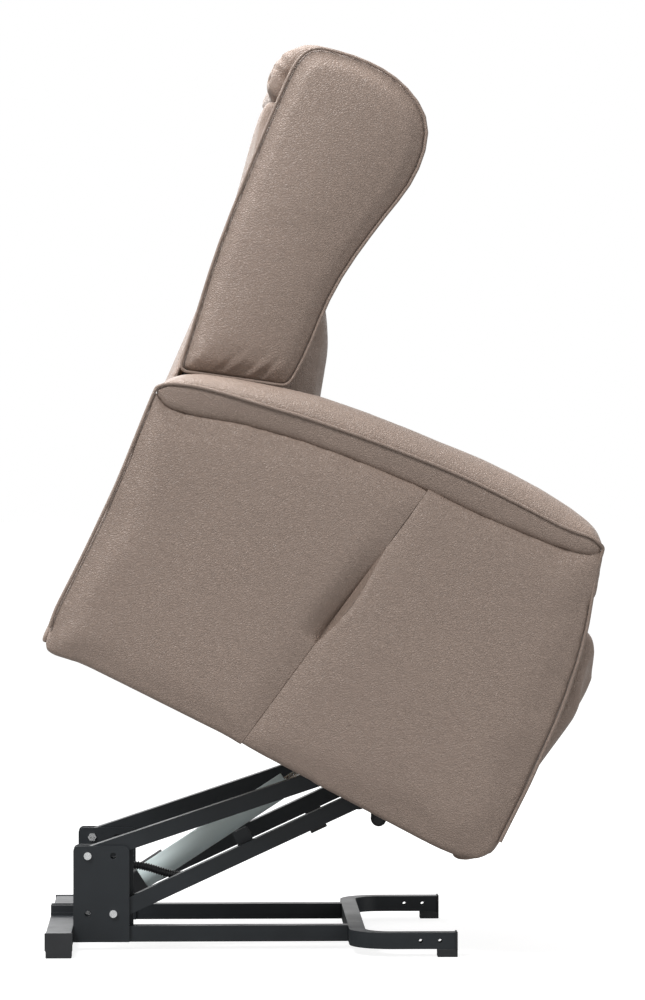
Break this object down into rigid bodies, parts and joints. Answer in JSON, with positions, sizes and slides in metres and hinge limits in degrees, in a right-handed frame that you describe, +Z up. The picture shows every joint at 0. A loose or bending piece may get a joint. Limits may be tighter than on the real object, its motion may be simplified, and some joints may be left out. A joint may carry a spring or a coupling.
{
  "type": "lift recliner",
  "caption": "Powered lift recliner armchair on a tilting four-bar steel stand, shown raised, with reclining winged back, folding legrest and a handset pocket in its side.",
  "frame": {"origin": "centre of the footprint on the floor, under the middle of the raised chair", "axes": "+X the way the sitter faces, +Y towards the left arm, +Z up"},
  "size_m": [0.8616, 0.72, 1.4138],
  "materials": {
    "leather": "pebbled semi-matt upholstery leather, self-piped seams",
    "powder_coat": "fine charcoal powder coat",
    "bolt_zinc": "bright zinc-plated steel",
    "ram_tube": "satin grey-green tube",
    "black_plastic": "matt moulded plastic",
    "black_rubber": "matt rubber",
    "webbing": "woven elastic webbing",
    "timber": "plain plywood and softwood"
  },
  "bodies": {
    "base": {"rear_cross_tube": "powder_coat", "end_caps": "black_plastic", "side_rail_right": "powder_coat", "side_rail_left": "powder_coat", "front_fork": "powder_coat", "upright_right": "powder_coat", "upright_left": "powder_coat", "actuator_saddle": "powder_coat", "base_pivot_bolts": "bolt_zinc", "conduit_gland": "black_plastic"},
    "lower_links": {"lower_link_right": "powder_coat", "lower_link_left": "powder_coat", "lower_cross_tube": "powder_coat", "link_bumpers": "black_rubber", "lower_link_bushes": "black_plastic", "cable_conduit": "black_rubber"},
    "upper_links": {"upper_link_right": "powder_coat", "upper_link_left": "powder_coat", "upper_cross_tube": "powder_coat", "upper_link_bushes": "black_plastic", "upper_pivot_pins": "bolt_zinc"},
    "lift_actuator": {"lift_motor_housing": "black_plastic", "lift_actuator_tube": "ram_tube"},
    "lift_rod": {"lift_actuator_rod": "bolt_zinc"},
    "chair": {"carriage_side_right": "powder_coat", "carriage_side_left": "powder_coat", "carriage_front_tube": "powder_coat", "carriage_mid_tube": "powder_coat", "carriage_rear_tube": "powder_coat", "carriage_pivot_bolts": "bolt_zinc", "frame_buffers": "black_rubber", "control_box": "black_plastic", "seat_frame": "timber", "seat_webbing": "webbing", "seat_cushion": "leather", "arm_frame_right": "timber", "arm_frame_left": "timber", "side_panel_rear_right": "leather", "side_panel_rear_left": "leather", "side_panel_front_right": "leather", "side_panel_front_left": "leather", "arm_pad_right": "leather", "arm_pad_left": "leather", "arm_inner_right": "leather", "arm_inner_left": "leather", "arm_front_right": "leather", "arm_front_left": "leather", "rear_valance": "leather", "legrest_brackets": "powder_coat"},
    "backrest": {"back_frame": "powder_coat", "back_board": "timber", "back_cushion": "leather", "headrest_cushion": "leather", "wing_right": "leather", "wing_left": "leather", "outside_back": "leather"},
    "back_actuator": {"back_actuator_body": "black_plastic"},
    "back_rod": {"back_actuator_rod": "bolt_zinc"},
    "legrest": {"legrest_board": "timber", "legrest_pad": "leather"}
  },
  "joints": [
    {"name": "lift", "type": "hinge", "parent": "base", "child": "lower_links", "pos_m": [-0.32223, 0, 0.057], "axis": [0, 1, 0], "range_deg": [0, 24.3], "deforming": ["cable_conduit"]},
    {"name": "upper_link_turn", "type": "hinge", "parent": "base", "child": "upper_links", "pos_m": [-0.36223, 0, 0.1475], "axis": [0, 1, 0], "range_deg": [0, 25.4]},
    {"name": "chair_tilt", "type": "hinge", "parent": "lower_links", "child": "chair", "pos_m": [0.06085, 0, 0.23401], "axis": [0, 1, 0], "range_deg": [-51.4, 0]},
    {"name": "lift_ram_turn", "type": "hinge", "parent": "base", "child": "lift_actuator", "pos_m": [-0.36223, 0, 0.041], "axis": [0, 1, 0], "range_deg": [0, 23]},
    {"name": "lift_ram_slide", "type": "slide", "parent": "lift_actuator", "child": "lift_rod", "axis": [0.8368, 0, 0.5475], "range_m": [-0.0425, 0]},
    {"name": "recline", "type": "hinge", "parent": "chair", "child": "backrest", "pos_m": [-0.27697, 0, 0.74283], "axis": [0, -1, 0], "range_deg": [0, 35]},
    {"name": "back_ram_turn", "type": "hinge", "parent": "chair", "child": "back_actuator", "pos_m": [0.04983, -0.06, 0.43266], "axis": [0, 1, 0], "range_deg": [0, 4.3]},
    {"name": "back_ram_slide", "type": "slide", "parent": "back_actuator", "child": "back_rod", "axis": [-0.8524, 0, 0.5229], "range_m": [-0.0515, 0]},
    {"name": "legrest", "type": "hinge", "parent": "chair", "child": "legrest", "pos_m": [0.40176, 0, 0.48679], "axis": [0, -1, 0], "range_deg": [0, 85]}
  ],
  "couplings": [
    {"joint": "upper_link_turn", "follows": "lift", "ratio": 1.0414},
    {"joint": "chair_tilt", "follows": "lift", "ratio": -2.1097},
    {"joint": "lift_ram_turn", "follows": "lift", "ratio": 0.94},
    {"joint": "lift_ram_slide", "follows": "lift", "m_per_rad": -0.099},
    {"joint": "back_ram_turn", "follows": "recline", "ratio": 0.12},
    {"joint": "back_ram_slide", "follows": "recline", "m_per_rad": -0.0835}
  ]
}
